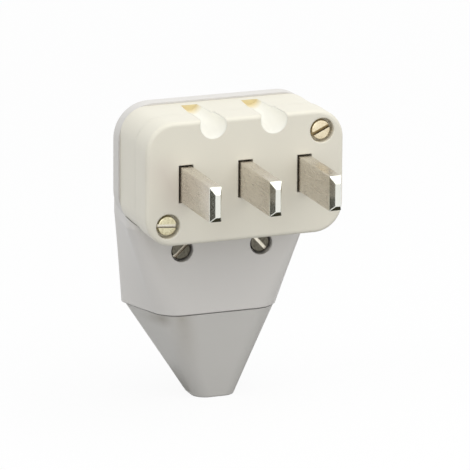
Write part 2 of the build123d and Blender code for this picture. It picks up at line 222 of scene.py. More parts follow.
def buildLamps(values):
    for name, lamp in values["lamps"].items():
        data = bpy.data.lights.new(name, "AREA")
        data.shape = "SQUARE"
        data.size = lamp["span"]
        data.energy = lamp["watts"]
        data.color = lamp["colour"]
        holder = bpy.data.objects.new(name, data)
        scene.collection.objects.link(holder)
        holder.location = lamp["place"]
        aim = Vector(values["aim"]) - Vector(lamp["place"])
        holder.rotation_euler = aim.to_track_quat("-Z", "Y").to_euler()


def buildCards(values):
    # The cards only show in reflections: they take no light and throw no shade
    dark, tree, surface = newMaterial("darkCard")
    link(tree, step(tree, "ShaderNodeEmission", {"Color": values["cardColour"]}).outputs[0], surface)
    for name, card in values["cards"].items():
        turn = Vector(card["facing"]).to_track_quat("Z", "Y").to_matrix()
        holder = newSquare(name, card["width"] / 2, card["height"] / 2, turn, card["place"])
        holder.data.materials.append(dark)
        holder.visible_camera = False
        holder.visible_diffuse = False
        holder.visible_shadow = False


buildRoom(studio)
buildFloor(studio)
buildLamps(studio)
buildCards(studio)
print("camera, floor, lamps and cards placed")

socketKinds = {
    "value": "NodeSocketFloat", "whole": "NodeSocketInt", "vector": "NodeSocketVector",
    "colour": "NodeSocketColor", "material": "NodeSocketMaterial", "geometry": "NodeSocketGeometry",
}


def newGroup(name, kind, inputs, outputs):
    # An input that gives a third value starts at it, and may be left out where the group is used
    tree = bpy.data.node_groups.new(name, kind)
    for label, socketKind, *start in inputs:
        socket = tree.interface.new_socket(label, in_out="INPUT", socket_type=socketKinds[socketKind])
        if start:
            socket.default_value = start[0]
    for label, socketKind in outputs:
        tree.interface.new_socket(label, in_out="OUTPUT", socket_type=socketKinds[socketKind])
    given = tree.nodes.new("NodeGroupInput").outputs
    made = tree.nodes.new("NodeGroupOutput").inputs
    return tree, given, made


# Shader effects that several finishes share, each with the values that shape its noise and masks
skinShape = {
    "cloudDetail": 4.0, "cloudRough": 0.55, "cloudGain": 2.4, "cloudShift": -0.7,
    "grainDetail": 2.0, "grainRough": 0.5, "cloudInHeight": 0.35,
}


def buildMouldedSkin(shape):
    # Cloudy tint, uneven gloss and a very fine grain, as on pressed plastic
    tree, given, made = newGroup("mouldedSkin", "ShaderNodeTree", [
        ("Point", "vector"), ("Colour", "colour"), ("Cloud Tint", "colour"), ("Cloud Share", "value"),
        ("Cloud Scale", "value"), ("Grain Scale", "value", 2500.0), ("Gloss", "value"),
        ("Gloss Swing", "value", 0.1),
    ], [("Colour", "colour"), ("Roughness", "value"), ("Height", "value")])
    cloud = noiseOf(tree, given["Point"], given["Cloud Scale"], shape["cloudDetail"], shape["cloudRough"])
    wide = mathOf(tree, "MULTIPLY_ADD", cloud, shape["cloudGain"], shape["cloudShift"], clamp=True)
    share = mathOf(tree, "MULTIPLY", wide, given["Cloud Share"])
    link(tree, mixColour(tree, share, given["Colour"], given["Cloud Tint"]), made["Colour"])
    swing = mathOf(tree, "SUBTRACT", cloud, 0.5)
    gloss = mathOf(tree, "MULTIPLY_ADD", swing, given["Gloss Swing"], given["Gloss"])
    link(tree, gloss, made["Roughness"])
    grain = noiseOf(tree, given["Point"], given["Grain Scale"], shape["grainDetail"], shape["grainRough"])
    link(tree, mathOf(tree, "MULTIPLY_ADD", cloud, shape["cloudInHeight"], grain), made["Height"])
    return tree


creviceShape = {"samples": 8, "sharpness": 1.6}


def buildCrevice(shape):
    # Dust, and painted shade from an ambient occlusion mask, gathering where two surfaces meet
    tree, given, made = newGroup("crevice", "ShaderNodeTree", [
        ("Colour", "colour"), ("Dust And Shade", "colour"), ("Reach", "value"), ("Strength", "value"),
    ], [("Colour", "colour")])
    near = step(tree, "ShaderNodeAmbientOcclusion", {"Distance": given["Reach"]},
                samples=shape["samples"], only_local=False)
    closed = mathOf(tree, "SUBTRACT", 1.0, near.outputs["AO"], clamp=True)
    sharper = mathOf(tree, "POWER", closed, shape["sharpness"])
    mask = mathOf(tree, "MULTIPLY", sharper, given["Strength"], clamp=True)
    link(tree, mixColour(tree, mask, given["Colour"], given["Dust And Shade"]), made["Colour"])
    return tree


rubShape = {"samples": 6, "gain": 6.0, "patchScale": 900.0, "patchDetail": 3.0, "patchRough": 0.6}


def buildRubbedEdge(shape):
    # Edges that handling has rubbed paler, and the softened normal that goes with them
    tree, given, made = newGroup("rubbedEdge", "ShaderNodeTree", [
        ("Point", "vector"), ("Radius", "value"), ("Strength", "value"),
    ], [("Mask", "value"), ("Normal", "vector")])
    rounded = step(tree, "ShaderNodeBevel", {"Radius": given["Radius"]},
                   samples=shape["samples"]).outputs["Normal"]
    real = step(tree, "ShaderNodeNewGeometry").outputs["Normal"]
    alike = vectorMathOf(tree, "DOT_PRODUCT", rounded, real, output="Value")
    turned = mathOf(tree, "SUBTRACT", 1.0, alike, clamp=True)
    patchy = noiseOf(tree, given["Point"], shape["patchScale"], shape["patchDetail"], shape["patchRough"])
    mask = mathOf(tree, "MULTIPLY", mathOf(tree, "MULTIPLY", turned, shape["gain"], clamp=True), patchy)
    link(tree, mathOf(tree, "MULTIPLY", mask, given["Strength"], clamp=True), made["Mask"])
    link(tree, rounded, made["Normal"])
    return tree


drawnShape = {
    "lineDetail": 3.0, "lineRough": 0.6,
    "smudgeScale": 170.0, "smudgeDetail": 4.0, "smudgeRough": 0.6, "smudgeGain": 3.0, "smudgeShift": -1.1,
    "speckDetail": 4.0, "speckRough": 0.65, "speckGain": 7.0, "speckShift": -1.45,
}


def buildDrawnMetal(shape):
    # Fine lines or grain, smudges, specks and a film of tarnish
    tree, given, made = newGroup("drawnMetal", "ShaderNodeTree", [
        ("Point", "vector"), ("Colour", "colour"), ("Tarnish", "colour"), ("Tarnish Share", "value"),
        ("Line Stretch", "vector"), ("Gloss", "value"), ("Gloss Swing", "value"),
        ("Speck Scale", "value"), ("Speck Share", "value"),
    ], [("Colour", "colour"), ("Roughness", "value"), ("Height", "value")])
    stretched = vectorMathOf(tree, "MULTIPLY", given["Point"], given["Line Stretch"])
    lines = noiseOf(tree, stretched, 1.0, shape["lineDetail"], shape["lineRough"])
    smudge = noiseOf(tree, given["Point"], shape["smudgeScale"], shape["smudgeDetail"],
                     shape["smudgeRough"])
    smudged = mathOf(tree, "MULTIPLY_ADD", smudge, shape["smudgeGain"], shape["smudgeShift"], clamp=True)
    film = mathOf(tree, "MULTIPLY", smudged, given["Tarnish Share"])
    filmed = mixColour(tree, film, given["Colour"], given["Tarnish"])
    specks = noiseOf(tree, given["Point"], given["Speck Scale"], shape["speckDetail"], shape["speckRough"])
    lined = mathOf(tree, "MULTIPLY", specks, lines)
    speckled = mathOf(tree, "MULTIPLY_ADD", lined, shape["speckGain"], shape["speckShift"], clamp=True)
    speckShare = mathOf(tree, "MULTIPLY", speckled, given["Speck Share"])
    link(tree, mixColour(tree, speckShare, filmed, given["Tarnish"]), made["Colour"])
    blend = mathOf(tree, "MULTIPLY_ADD", lines, 0.5, mathOf(tree, "MULTIPLY", smudge, 0.5))
    swing = mathOf(tree, "SUBTRACT", blend, 0.5)
    gloss = mathOf(tree, "MULTIPLY_ADD", swing, given["Gloss Swing"], given["Gloss"])
    link(tree, gloss, made["Roughness"])
    link(tree, lines, made["Height"])
    return tree


grooveShape = {"edgeGain": 9000.0, "edgeShift": 1.3, "alongFrom": -0.02, "alongTo": 1.01}


def buildKeyGroove(shape):
    # The two grooves in the top edge: painted light along their length, a painted amber shade at the thin
    # rear end wall
    tree, given, made = newGroup("keyGroove", "ShaderNodeTree", [
        ("Point", "vector"), ("Colour", "colour"), ("Painted Light", "colour"), ("Amber Shade", "colour"),
        ("Painted Light Share", "value"), ("Amber Shade Share", "value"), ("Amber Shade From", "value"),
        ("Centre", "value"), ("Offset", "value"), ("Length", "value"),
        ("Front Radius", "value"), ("Rear Radius", "value"),
        ("Front Level", "value"), ("Rear Level", "value"),
    ], [("Colour", "colour")])
    parts = step(tree, "ShaderNodeSeparateXYZ", {0: given["Point"]}).outputs
    along = mathOf(tree, "DIVIDE", parts["Y"], given["Length"])
    # How far the point is from the groove's own axis, which slopes and narrows towards the rear
    aside = mathOf(tree, "ABSOLUTE", mathOf(tree, "SUBTRACT", parts["X"], given["Centre"]))
    fromAxis = mathOf(tree, "SUBTRACT", aside, given["Offset"])
    rise = mathOf(tree, "SUBTRACT", given["Rear Level"], given["Front Level"])
    level = mathOf(tree, "MULTIPLY_ADD", rise, along, given["Front Level"])
    under = mathOf(tree, "SUBTRACT", parts["Z"], level)
    shrink = mathOf(tree, "SUBTRACT", given["Rear Radius"], given["Front Radius"])
    radius = mathOf(tree, "MULTIPLY_ADD", shrink, along, given["Front Radius"])
    squares = mathOf(tree, "MULTIPLY_ADD", fromAxis, fromAxis, mathOf(tree, "MULTIPLY", under, under))
    spare = mathOf(tree, "SUBTRACT", radius, mathOf(tree, "SQRT", squares))
    inside = mathOf(tree, "MULTIPLY_ADD", spare, shape["edgeGain"], shape["edgeShift"], clamp=True)
    front = mathOf(tree, "MULTIPLY", mathOf(tree, "GREATER_THAN", along, shape["alongFrom"]), inside)
    groove = mathOf(tree, "MULTIPLY", mathOf(tree, "LESS_THAN", along, shape["alongTo"]), front)
    # Painted light: the groove is tinted paler along its length, standing in for light on its floor
    paintedLightShare = mathOf(tree, "MULTIPLY", groove, given["Painted Light Share"])
    paintedLighter = mixColour(tree, paintedLightShare, given["Colour"], given["Painted Light"])
    # Painted shade: the thin rear end of the groove takes an amber shade colour
    past = mathOf(tree, "SUBTRACT", along, given["Amber Shade From"])
    left = mathOf(tree, "SUBTRACT", 1.0, given["Amber Shade From"])
    rear = mathOf(tree, "DIVIDE", past, left, clamp=True)
    amberShadeShare = mathOf(tree, "MULTIPLY", groove, mathOf(tree, "MULTIPLY", rear, given["Amber Shade Share"]))
    link(tree, mixColour(tree, amberShadeShare, paintedLighter, given["Amber Shade"]), made["Colour"])
    return tree


def buildPolishedEnd():
    # Blade ends that use has polished, brighter and smoother than the rest
    tree, given, made = newGroup("polishedEnd", "ShaderNodeTree", [
        ("Point", "vector"), ("Colour", "colour"), ("Bright", "colour"), ("Roughness", "value"),
        ("Polished Roughness", "value"), ("From", "value"), ("Reach", "value"),
    ], [("Colour", "colour"), ("Roughness", "value")])
    parts = step(tree, "ShaderNodeSeparateXYZ", {0: given["Point"]}).outputs
    past = mathOf(tree, "SUBTRACT", given["From"], parts["Y"])
    mask = mathOf(tree, "DIVIDE", past, given["Reach"], clamp=True)
    link(tree, mixColour(tree, mask, given["Colour"], given["Bright"]), made["Colour"])
    smoother = mathOf(tree, "SUBTRACT", given["Polished Roughness"], given["Roughness"])
    link(tree, mathOf(tree, "MULTIPLY_ADD", smoother, mask, given["Roughness"]), made["Roughness"])
    return tree


shadePatchShape = {"sharpness": 1.5, "cloudDetail": 3.0, "cloudRough": 0.5, "cloudGain": 0.8, "cloudShift": 0.6}


def buildPaintedShadePatch(shape):
    # Painted shade along a line between two points, broken up by noise
    tree, given, made = newGroup("paintedShadePatch", "ShaderNodeTree", [
        ("Point", "vector"), ("Colour", "colour"), ("Shade Colour", "colour"), ("Start", "vector"),
        ("Finish", "vector"), ("Reach", "value"), ("Share", "value"), ("Scale", "value", 250.0),
    ], [("Colour", "colour")])
    along = vectorMathOf(tree, "SUBTRACT", given["Finish"], given["Start"])
    off = vectorMathOf(tree, "SUBTRACT", given["Point"], given["Start"])
    done = vectorMathOf(tree, "DOT_PRODUCT", off, along, output="Value")
    whole = vectorMathOf(tree, "DOT_PRODUCT", along, along, output="Value")
    share = mathOf(tree, "DIVIDE", done, whole, clamp=True)
    nearest = step(tree, "ShaderNodeVectorMath", {0: along, "Scale": share}, operation="SCALE").outputs[0]
    away = vectorMathOf(tree, "LENGTH", vectorMathOf(tree, "SUBTRACT", off, nearest), output="Value")
    near = mathOf(tree, "SUBTRACT", 1.0, mathOf(tree, "DIVIDE", away, given["Reach"]), clamp=True)
    soft = mathOf(tree, "POWER", near, shape["sharpness"])
    cloud = noiseOf(tree, given["Point"], given["Scale"], shape["cloudDetail"], shape["cloudRough"])
    uneven = mathOf(tree, "MULTIPLY_ADD", cloud, shape["cloudGain"], shape["cloudShift"])
    mask = mathOf(tree, "MULTIPLY", mathOf(tree, "MULTIPLY", soft, uneven), given["Share"], clamp=True)
    link(tree, mixColour(tree, mask, given["Colour"], given["Shade Colour"]), made["Colour"])
    return tree


effects = {
    "skin": buildMouldedSkin(skinShape), "crevice": buildCrevice(creviceShape),
    "rubbed": buildRubbedEdge(rubShape), "drawn": buildDrawnMetal(drawnShape),
    "groove": buildKeyGroove(grooveShape), "polished": buildPolishedEnd(),
    "paintedShade": buildPaintedShadePatch(shadePatchShape),
}


def useEffect(tree, effect, inputs):
    return step(tree, "ShaderNodeGroup", inputs, node_tree=effects[effect]).outputs


def newFinish(name):
    finish, tree, surface = newMaterial(name)
    shader = tree.nodes.new("ShaderNodeBsdfPrincipled")
    link(tree, shader.outputs[0], surface)
    return finish, tree, shader, step(tree, "ShaderNodeTexCoord").outputs["Object"]


def rubEdges(tree, point, values, colour):
    rubbed = useEffect(tree, "rubbed", {
        "Point": point, "Radius": values["edge"], "Strength": values["rub"]})
    return mixColour(tree, rubbed["Mask"], colour, values["rubColour"]), rubbed["Normal"]


def closeFinish(tree, shader, values, colour, roughness, bump):
    # Dust and painted shade in the crevices come last, then everything goes into the shader
    dustedShaded = useEffect(tree, "crevice", {
        "Colour": colour, "Dust And Shade": values["dustAndShade"], "Reach": values["dustAndShadeReach"],
        "Strength": values["dustAndShadeShare"]})
    link(tree, dustedShaded["Colour"], shader.inputs["Base Color"])
    link(tree, roughness, shader.inputs["Roughness"])
    link(tree, step(tree, "ShaderNodeBump", bump).outputs["Normal"], shader.inputs["Normal"])


def plasticFinish(name, values):
    finish, tree, shader, point = newFinish(name)
    skin = useEffect(tree, "skin", {
        "Point": point, "Colour": values["colour"], "Cloud Tint": values["cloud"],
        "Cloud Share": values["cloudShare"], "Cloud Scale": values["cloudScale"], "Gloss": values["gloss"]})
    colour, normal = rubEdges(tree, point, values, skin["Colour"])
    if "grooves" in values:
        grooved = useEffect(tree, "groove", {"Point": point, "Colour": colour, **values["grooves"]})
        colour = grooved["Colour"]
    for patch in values.get("paintedShade", ()):
        colour = useEffect(tree, "paintedShade", {"Point": point, "Colour": colour, **patch})["Colour"]
    bump = {"Distance": values["grainDepth"], "Height": skin["Height"], "Normal": normal}
    closeFinish(tree, shader, values, colour, skin["Roughness"], bump)
    return finish


def metalFinish(name, values):
    finish, tree, shader, point = newFinish(name)
    drawn = useEffect(tree, "drawn", {
        "Point": point, "Colour": values["colour"], "Tarnish": values["tarnish"],
        "Tarnish Share": values["tarnishShare"], "Line Stretch": values["lines"], "Gloss": values["gloss"],
        "Gloss Swing": values["glossSwing"], "Speck Scale": values["speckScale"],
        "Speck Share": values["speckShare"]})
    colour, normal = rubEdges(tree, point, values, drawn["Colour"])
    roughness = drawn["Roughness"]
    if "end" in values:
        ended = useEffect(tree, "polished", {
            "Point": point, "Colour": colour, "Roughness": roughness, **values["end"]})
        colour, roughness = ended["Colour"], ended["Roughness"]
    shader.inputs["Metallic"].default_value = 1.0
    bump = {"Distance": values["lineDepth"], "Height": drawn["Height"], "Normal": normal}
    closeFinish(tree, shader, values, colour, roughness, bump)
    return finish


# What stands under grooves, the painted shade patches and end are those effects' own inputs. The crevice
# keys hold dust and painted shade together
plastics = {
    "ivoryMoulding": {
        "colour": (0.805, 0.775, 0.665), "gloss": 0.40, "grainDepth": 0.02 * mm,
        "cloud": (0.775, 0.735, 0.640), "cloudShare": 0.45, "cloudScale": 45.0,
        "edge": 0.6 * mm, "rub": 0.25, "rubColour": (0.88, 0.85, 0.76),
        "dustAndShade": (0.50, 0.43, 0.33), "dustAndShadeReach": 1.2 * mm, "dustAndShadeShare": 0.45,
        # The groove tints are painted light along the grooves and a painted amber shade at their rear end
        "grooves": {
            "Painted Light": (0.92, 0.91, 0.84), "Painted Light Share": 0.9,
            "Amber Shade": (0.74, 0.60, 0.27), "Amber Shade Share": 0.85, "Amber Shade From": 0.82,
            "Centre": -0.6 * mm, "Offset": 9.2 * mm, "Length": 20 * mm,
            "Front Radius": 3.95 * mm, "Rear Radius": 2.65 * mm,
            "Front Level": 16.5 * mm, "Rear Level": 18.75 * mm,
        },
        # Painted shadow of the left blade, on the face to the left of its slot
        "paintedShade": (
            {"Shade Colour": (0.58, 0.50, 0.45), "Share": 0.40, "Reach": 8 * mm, "Scale": 60.0,
             "Start": (-25 * mm, 0.0, 4 * mm), "Finish": (-21 * mm, 0.0, -4 * mm)},
        ),
    },
    "greyMoulding": {
        "colour": (0.716, 0.696, 0.665), "gloss": 0.46, "grainDepth": 0.02 * mm,
        "cloud": (0.681, 0.658, 0.632), "cloudShare": 0.4, "cloudScale": 35.0,
        "edge": 0.6 * mm, "rub": 0.25, "rubColour": (0.80, 0.79, 0.76),
        "dustAndShade": (0.26, 0.24, 0.22), "dustAndShadeReach": 1.2 * mm, "dustAndShadeShare": 0.7,
    },
    "sleeveMoulding": {
        "colour": (0.627, 0.613, 0.582), "gloss": 0.50, "grainDepth": 0.02 * mm,
        "cloud": (0.588, 0.574, 0.546), "cloudShare": 0.4, "cloudScale": 35.0,
        "edge": 0.6 * mm, "rub": 0.25, "rubColour": (0.76, 0.75, 0.72),
        "dustAndShade": (0.12, 0.11, 0.10), "dustAndShadeReach": 1.2 * mm, "dustAndShadeShare": 0.7,
        # Painted shade along the sleeve's front-left corner, and a painted shadow under the seam on its
        # left side
        "paintedShade": (
            {"Shade Colour": (0.42, 0.39, 0.34), "Share": 0.60, "Reach": 4.6 * mm,
             "Start": (-12.0 * mm, 19.2 * mm, -45.5 * mm), "Finish": (-3.8 * mm, 28.8 * mm, -71.0 * mm)},
            {"Shade Colour": (0.34, 0.31, 0.27), "Share": 0.75, "Reach": 3.6 * mm,
             "Start": (-16.9 * mm, 21.5 * mm, -46.2 * mm), "Finish": (-17.4 * mm, 36.0 * mm, -46.2 * mm)},
        ),
    },
    "saddleMoulding": {
        "colour": (0.36, 0.35, 0.33), "gloss": 0.55, "grainDepth": 0.02 * mm,
        "cloud": (0.30, 0.29, 0.27), "cloudShare": 0.4, "cloudScale": 80.0,
        "edge": 0.2 * mm, "rub": 0.4, "rubColour": (0.5, 0.49, 0.46),
        "dustAndShade": (0.15, 0.14, 0.12), "dustAndShadeReach": 1 * mm, "dustAndShadeShare": 0.5,
    },
    "pressedBoard": {
        "colour": (0.30, 0.19, 0.10), "gloss": 0.7, "grainDepth": 0.05 * mm,
        "cloud": (0.20, 0.12, 0.06), "cloudShare": 0.8, "cloudScale": 400.0,
        "edge": 0.2 * mm, "rub": 0.5, "rubColour": (0.45, 0.32, 0.2),
        "dustAndShade": (0.10, 0.07, 0.04), "dustAndShadeReach": 1 * mm, "dustAndShadeShare": 0.4,
    },
}
metals = {
    "satinNickel": {
        "colour": (0.765, 0.722, 0.655), "gloss": 0.27, "glossSwing": 0.14,
        "tarnish": (0.48, 0.43, 0.37), "tarnishShare": 0.30, "speckScale": 1700.0, "speckShare": 0.3,
        "lines": (2600.0, 160.0, 2600.0), "lineDepth": 0.012 * mm,
        "edge": 0.25 * mm, "rub": 0.8, "rubColour": (0.88, 0.86, 0.80),
        "dustAndShade": (0.14, 0.12, 0.09), "dustAndShadeReach": 1.2 * mm, "dustAndShadeShare": 0.7,
        "end": {
            "Bright": (0.80, 0.81, 0.745), "Polished Roughness": 0.15, "From": -23.1 * mm,
            "Reach": 0.5 * mm,
        },
    },
    "turnedBrass": {
        "colour": (0.79, 0.74, 0.52), "gloss": 0.30, "glossSwing": 0.2,
        "tarnish": (0.36, 0.31, 0.17), "tarnishShare": 0.5, "speckScale": 2200.0, "speckShare": 0.5,
        "lines": (1800.0, 400.0, 1800.0), "lineDepth": 0.01 * mm,
        "edge": 0.15 * mm, "rub": 0.9, "rubColour": (0.88, 0.84, 0.66),
        "dustAndShade": (0.10, 0.08, 0.05), "dustAndShadeReach": 0.6 * mm, "dustAndShadeShare": 0.7,
    },
    # The upper face screw's brass: a lighter copy of the lower screw's, painted lighter to stand in for the
    # light on it
    "brassPaintedLighter": {
        "colour": (0.91, 0.82, 0.60), "gloss": 0.28, "glossSwing": 0.2,
        "tarnish": (0.52, 0.40, 0.25), "tarnishShare": 0.45, "speckScale": 2200.0, "speckShare": 0.4,
        "lines": (1800.0, 400.0, 1800.0), "lineDepth": 0.01 * mm,
        "edge": 0.15 * mm, "rub": 0.9, "rubColour": (0.94, 0.89, 0.78),
        "dustAndShade": (0.20, 0.14, 0.08), "dustAndShadeReach": 0.6 * mm, "dustAndShadeShare": 0.6,
    },
    # Painted highlight: a pale slot floor that stands in for the glint along the slots
    "paintedSlotHighlight": {
        "colour": (0.90, 0.86, 0.74), "gloss": 0.32, "glossSwing": 0.2,
        "tarnish": (0.55, 0.47, 0.32), "tarnishShare": 0.35, "speckScale": 2200.0, "speckShare": 0.3,
        "lines": (2500.0, 2500.0, 300.0), "lineDepth": 0.01 * mm,
        "edge": 0.1 * mm, "rub": 0.9, "rubColour": (0.95, 0.92, 0.84),
        "dustAndShade": (0.30, 0.26, 0.19), "dustAndShadeReach": 0.4 * mm, "dustAndShadeShare": 0.4,
    },
    # Painted shade: a dark gold floor for the upper face screw's slot
    "paintedSlotShade": {
        "colour": (0.50, 0.38, 0.19), "gloss": 0.40, "glossSwing": 0.2,
        "tarnish": (0.20, 0.14, 0.06), "tarnishShare": 0.5, "speckScale": 2200.0, "speckShare": 0.4,
        "lines": (2500.0, 2500.0, 300.0), "lineDepth": 0.01 * mm,
        "edge": 0.1 * mm, "rub": 0.7, "rubColour": (0.80, 0.70, 0.50),
        "dustAndShade": (0.12, 0.09, 0.05), "dustAndShadeReach": 0.4 * mm, "dustAndShadeShare": 0.5,
    },
    # Painted shade on the slot walls
    "paintedSlotWallShade": {
        "colour": (0.16, 0.12, 0.08), "gloss": 0.45, "glossSwing": 0.2,
        "tarnish": (0.05, 0.04, 0.03), "tarnishShare": 0.6, "speckScale": 2200.0, "speckShare": 0.4,
        "lines": (2500.0, 2500.0, 300.0), "lineDepth": 0.01 * mm,
        "edge": 0.1 * mm, "rub": 0.5, "rubColour": (0.60, 0.54, 0.42),
        "dustAndShade": (0.04, 0.03, 0.02), "dustAndShadeReach": 0.4 * mm, "dustAndShadeShare": 0.6,
    },
    # Steel for the grip screws, its colour painted dark to stand in for the shade and dark reflections
    # around their heads
    "steelPaintedDark": {
        "colour": (0.155, 0.145, 0.115), "gloss": 0.30, "glossSwing": 0.2,
        "tarnish": (0.06, 0.055, 0.04), "tarnishShare": 0.6, "speckScale": 1500.0, "speckShare": 0.7,
        "lines": (1800.0, 400.0, 1800.0), "lineDepth": 0.01 * mm,
        "edge": 0.15 * mm, "rub": 0.9, "rubColour": (0.62, 0.59, 0.5),
        "dustAndShade": (0.09, 0.08, 0.065), "dustAndShadeReach": 0.9 * mm, "dustAndShadeShare": 0.7,
    },
    "zincPlate": {
        "colour": (0.60, 0.61, 0.60), "gloss": 0.34, "glossSwing": 0.2,
        "tarnish": (0.40, 0.40, 0.36), "tarnishShare": 0.5, "speckScale": 1500.0, "speckShare": 0.3,
        "lines": (1500.0, 1500.0, 1500.0), "lineDepth": 0.01 * mm,
        "edge": 0.15 * mm, "rub": 0.7, "rubColour": (0.8, 0.8, 0.78),
        "dustAndShade": (0.1, 0.1, 0.09), "dustAndShadeReach": 0.8 * mm, "dustAndShadeShare": 0.7,
    },
}
finishes = {name: plasticFinish(name, values) for name, values in plastics.items()}
finishes.update({name: metalFinish(name, values) for name, values in metals.items()})
print("finishes built:", ", ".join(finishes))


def bakedMesh(piece):
    # The piece's mesh as its modifiers leave it, after which they go
    graph = bpy.context.evaluated_depsgraph_get()
    made = bpy.data.meshes.new_from_object(piece.evaluated_get(graph))
    piece.modifiers.clear()
    piece.data = made
    return made


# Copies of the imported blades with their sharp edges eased, as stamping and plating leave them
bladeEdge = {
    "width": 0.16 * mm, "rings": 3, "angle": 20, "flatness": 100, "merge": 0.002 * mm, "flatAngle": 0.4,
    "finish": "satinNickel", "slot": "nickel_plate",
}


def easeEdges(node, values):
    shape = bmesh.new()
    shape.from_mesh(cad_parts[node].data)
    bmesh.ops.remove_doubles(shape, verts=shape.verts, dist=values["merge"])
    bmesh.ops.dissolve_limit(shape, angle_limit=math.radians(values["flatAngle"]), verts=shape.verts,
                             edges=shape.edges)
    mesh = bpy.data.meshes.new(node + ".eased")
    shape.to_mesh(mesh)
    shape.free()
    mesh.materials.append(finishes[values["finish"]])
    piece = bpy.data.objects.new(node + ".eased", mesh)
    scene.collection.objects.link(piece)
    mesh.shade_smooth()
    bevel = piece.modifiers.new("easedEdges", "BEVEL")
    bevel.width = values["width"]
    bevel.segments = values["rings"]
    bevel.limit_method = "ANGLE"
    bevel.angle_limit = math.radians(values["angle"])
    bevel.use_clamp_overlap = False
    bevel.miter_outer = "MITER_ARC"
    weighted = piece.modifiers.new("flatFaces", "WEIGHTED_NORMAL")
    weighted.weight = values["flatness"]
    weighted.keep_sharp = True
    made = bakedMesh(piece)
    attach(piece, "root")
    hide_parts(node)
    print("eased", piece.name, len(made.polygons), "faces")


for node in ("pin_left", "pin_middle", "pin_right"):
    easeEdges(node, bladeEdge)


# Screws: one tree makes the head, its slot, the shank and the thread
def vectorOf(tree, x=0.0, y=0.0, z=0.0):
    return step(tree, "ShaderNodeCombineXYZ", {"X": x, "Y": y, "Z": z}).outputs[0]


def turnOf(tree, vector):
    return step(tree, "FunctionNodeEulerToRotation", {"Euler": vector}).outputs[0]


def movedBy(tree, geometry, **changes):
    return step(tree, "GeometryNodeTransform", {"Geometry": geometry, **changes}).outputs[0]


def ringOnTop(tree, mesh, top, rise, share):
    # One more ring on top of a cylinder, a little smaller
    raised = step(tree, "GeometryNodeExtrudeMesh", {
        "Mesh": mesh, "Selection": top, "Offset": vectorOf(tree, z=1.0), "Offset Scale": rise,
        "Individual": False}).outputs
    scaled = step(tree, "GeometryNodeScaleElements", {
        "Geometry": raised["Mesh"], "Selection": raised["Top"], "Scale": share})
    return scaled.outputs[0], raised["Top"]


# Shares of the screw's own sizes, and the counts that its thread is made with.
# Each ring of the rim has a rise and a share by which it draws in
screwShape = {
    "rimRings": ((0.7, 0.30), (0.3, 0.75)), "barLength": 3.0, "core": 0.8, "tip": 0.8,
    "turnPoints": 20, "threadSides": 4,
    "slotReach": 0.52, "wallFrom": 0.48, "slotBottom": 1.05, "slotTop": 0.999,
}


